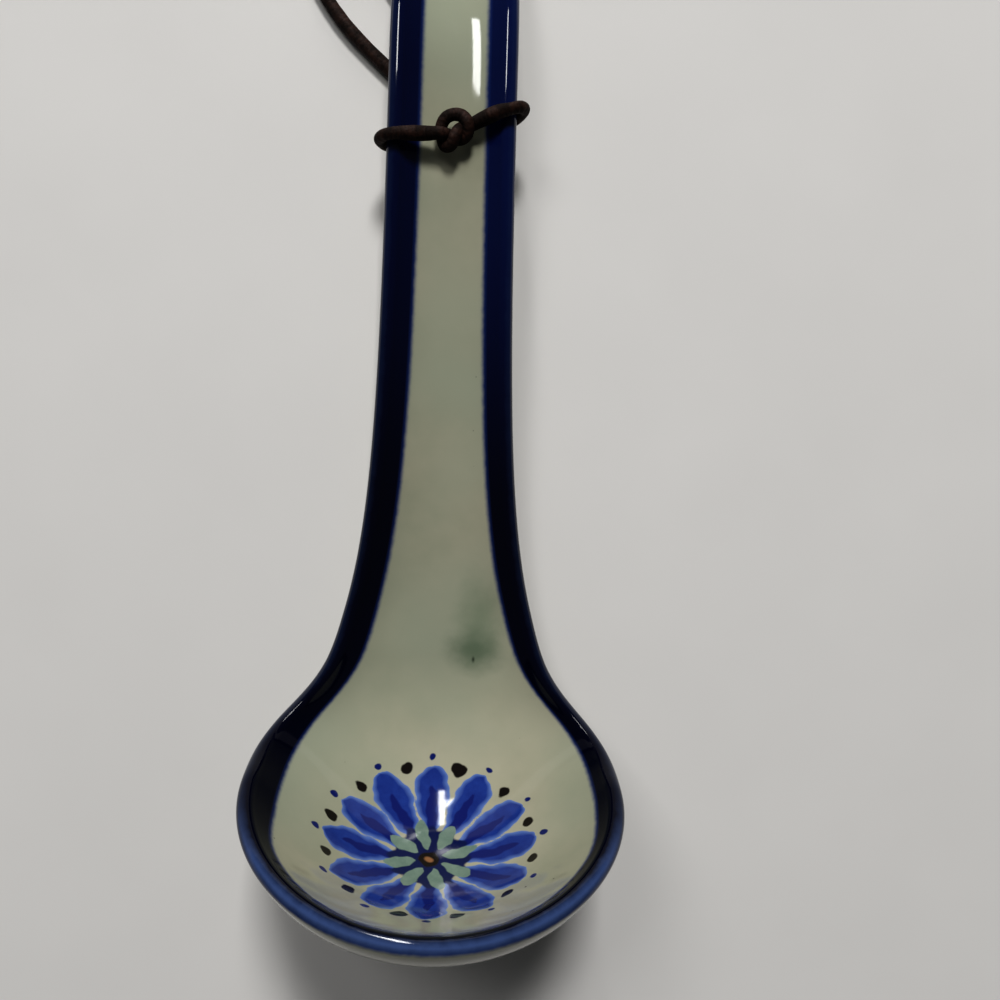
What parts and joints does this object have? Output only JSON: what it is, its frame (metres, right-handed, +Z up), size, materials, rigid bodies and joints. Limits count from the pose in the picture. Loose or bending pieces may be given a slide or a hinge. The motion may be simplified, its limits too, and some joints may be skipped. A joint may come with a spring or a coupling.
{
  "type": "ceramic ladle",
  "caption": "Glazed stoneware ladle with a round bowl, a channelled handle swept back at its end and a leather thong tied round the handle, lying on its back.",
  "frame": {"origin": "middle of the box round the ladle, on the table that it lies on", "axes": "+Y along the handle from the bowl to the handle's end, +X to the right as the picture shows it, +Z up from the table"},
  "size_m": [0.0976, 0.2794, 0.0913],
  "materials": {
    "glazed_stoneware": "clear gloss glaze over warm grey stoneware, with cobalt blue edges",
    "thong_leather": "dark brown round lace, dry surface",
    "loop_leather": "dark brown round lace, dry surface"
  },
  "bodies": {
    "ladle": {"ladle_body": "glazed_stoneware"},
    "tie": {"thong_tie": "thong_leather"},
    "loop": {"thong_loop": "loop_leather"}
  },
  "joints": [
    {"name": "tie_slide", "type": "slide", "parent": "ladle", "child": "tie", "axis": [0, 0.9982, 0.0604], "range_m": [-0.012, 0.006]},
    {"name": "loop_swing", "type": "hinge", "parent": "tie", "child": "loop", "pos_m": [0, 0.0818, 0.00767], "axis": [0, 0, 1], "range_deg": [-3, 20]}
  ]
}
